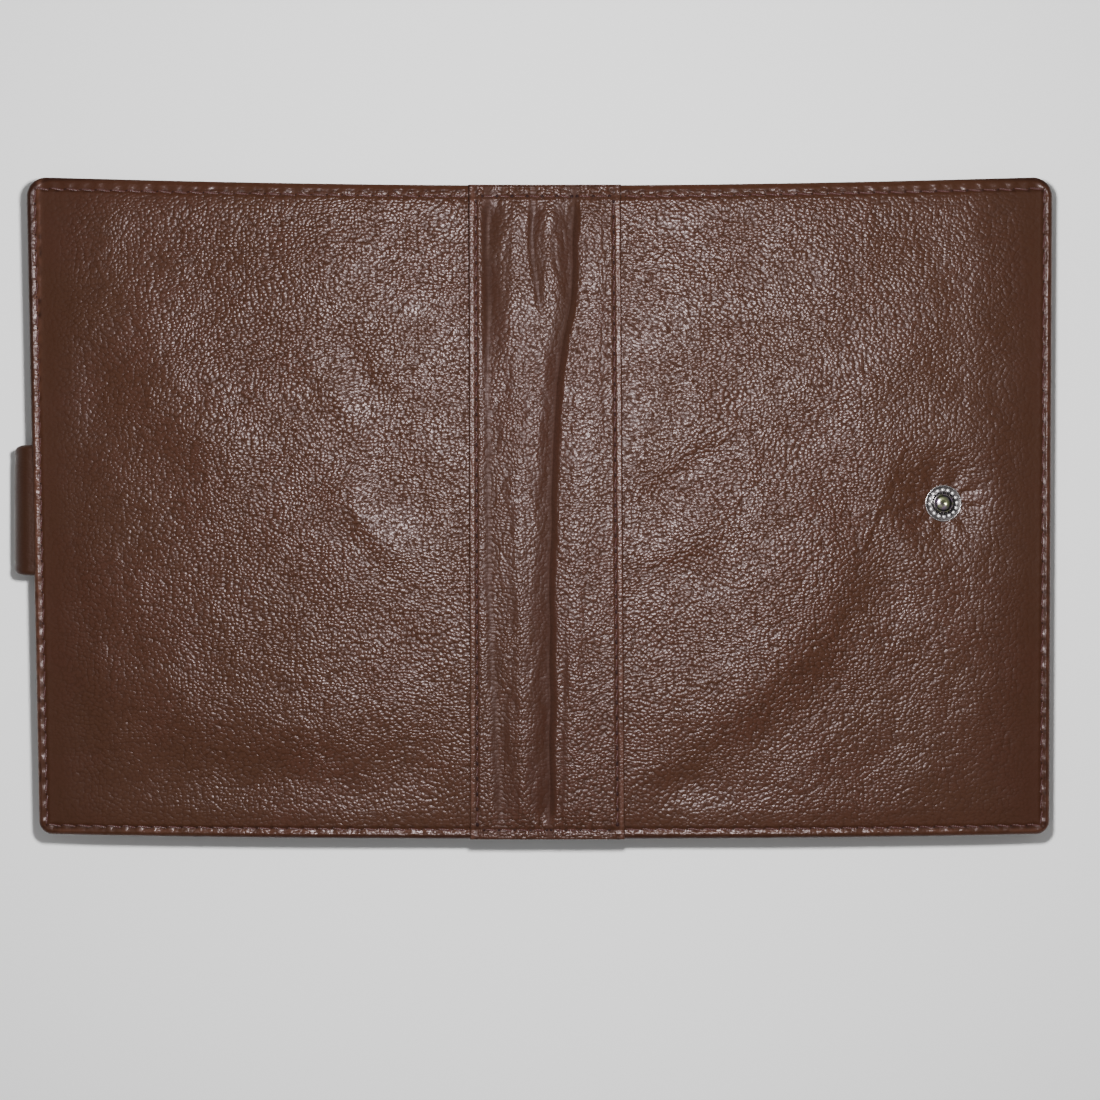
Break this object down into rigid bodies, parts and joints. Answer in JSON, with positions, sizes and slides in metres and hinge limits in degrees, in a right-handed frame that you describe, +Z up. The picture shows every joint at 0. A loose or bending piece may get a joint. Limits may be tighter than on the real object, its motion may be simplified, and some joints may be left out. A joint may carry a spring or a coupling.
{
  "type": "passport holder wallet",
  "caption": "Bifold leather passport holder lying open with its outside up: stitched covers, a lapped spine strip, a beaded snap stud and a closing tab tucked under one edge.",
  "frame": {"origin": "middle of the outline, on the surface that the open wallet lies on", "axes": "+X from the back cover to the front cover, across the spine; +Y along the spine; +Z up, out of the outer leather"},
  "size_m": [0.2294, 0.145, 0.0109],
  "materials": {
    "outer_leather": "pebbled, waxed, semi-gloss",
    "inner_leather": "smooth, satin",
    "lining": "woven, matte",
    "stiffener": "pressed fibre board, matte",
    "thread": "waxed thread",
    "snap_metal": "polished nickel"
  },
  "bodies": {
    "front_cover": {"front_outer_leather": "outer_leather", "front_stiffener": "stiffener", "front_lining": "lining", "front_edge_thread": "thread", "ticket_pocket": "inner_leather", "card_slot_upper_1": "inner_leather", "card_slot_upper_2": "inner_leather", "card_slot_upper_3": "inner_leather", "card_slot_lower_1": "inner_leather", "card_slot_lower_2": "inner_leather", "card_slot_lower_3": "inner_leather", "snap_stud": "snap_metal", "snap_stud_rivet": "snap_metal", "strip_lap_front": "outer_leather", "lap_thread_front": "thread"},
    "spine": {"spine_strip": "outer_leather", "spine_stiffener": "stiffener", "spine_lining": "lining", "spine_thread_top": "thread", "spine_thread_bottom": "thread"},
    "back_cover": {"back_outer_leather": "outer_leather", "back_stiffener": "stiffener", "back_lining": "lining", "back_edge_thread": "thread", "passport_sleeve": "inner_leather", "tab_root": "outer_leather", "strip_lap_back": "outer_leather", "lap_thread_back": "thread"},
    "tab_loop": {"tab_bend": "outer_leather"},
    "tab_end": {"tab_outer_ply": "outer_leather", "tab_inner_ply": "inner_leather", "tab_thread": "thread", "snap_cap": "snap_metal", "snap_socket": "snap_metal", "snap_spring": "snap_metal"}
  },
  "joints": [
    {"name": "front_fold", "type": "hinge", "parent": "front_cover", "child": "spine", "pos_m": [0.0125, 0, 0.01], "axis": [0, -1, 0], "range_deg": [0, 90]},
    {"name": "back_fold", "type": "hinge", "parent": "spine", "child": "back_cover", "pos_m": [-0.0085, 0, 0.01], "axis": [0, -1, 0], "range_deg": [0, 90]},
    {"name": "tab_reach", "type": "slide", "parent": "back_cover", "child": "tab_loop", "axis": [0, 0, -1], "range_m": [0, 0.0152], "deforming": ["tab_bend"]},
    {"name": "tab_swing", "type": "hinge", "parent": "tab_loop", "child": "tab_end", "pos_m": [-0.11392, -0.0005, 0.00158], "axis": [0, -1, 0], "range_deg": [-180, 0]}
  ],
  "couplings": [
    {"joint": "back_fold", "follows": "front_fold", "ratio": 1}
  ]
}
